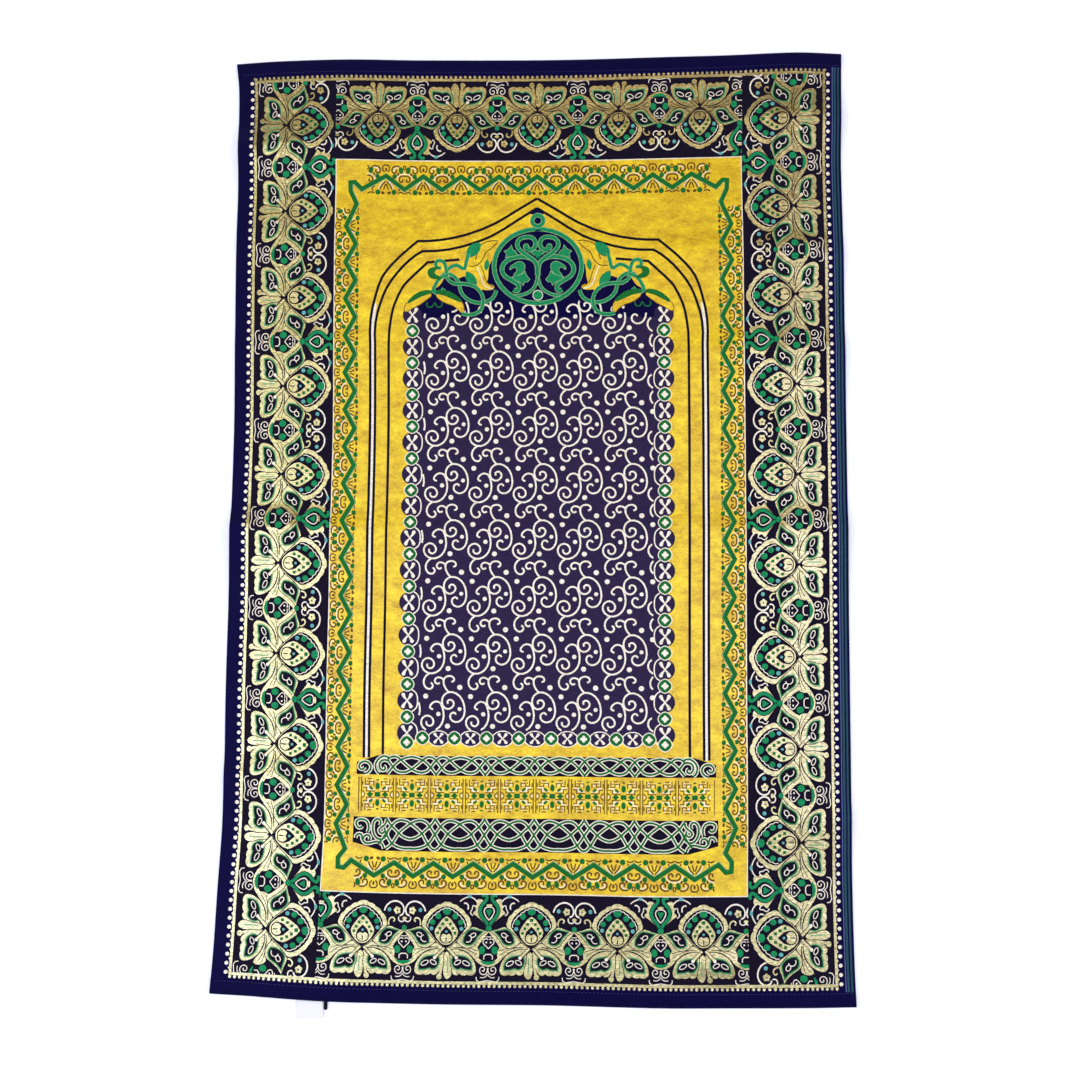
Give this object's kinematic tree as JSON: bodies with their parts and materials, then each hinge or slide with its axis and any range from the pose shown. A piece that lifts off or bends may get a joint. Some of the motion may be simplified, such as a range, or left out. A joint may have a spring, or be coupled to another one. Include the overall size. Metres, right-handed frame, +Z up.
{
  "type": "prayer rug",
  "caption": "Thin woven rug lying open on the floor, with a niche pattern, turned hems at head and foot, woven selvedges, faint packing creases and a blank care label.",
  "frame": {"origin": "on the floor, at the middle of the outline of the rug and its label", "axes": "+Z up out of the floor, +Y along the rug from its foot to the top of the niche, +X to the right of someone who faces the niche"},
  "size_m": [0.7015, 1.0887, 0.008],
  "materials": {
    "rug_cloth": "woven satin of purple yarn, with metallised gold, cream and green pattern wefts",
    "care_label": "white satin tape, blank",
    "tape_end": "narrow black tape"
  },
  "bodies": {
    "root": {"rug_cloth": "rug_cloth", "care_label": "care_label", "tape_end": "tape_end"}
  },
  "joints": []
}
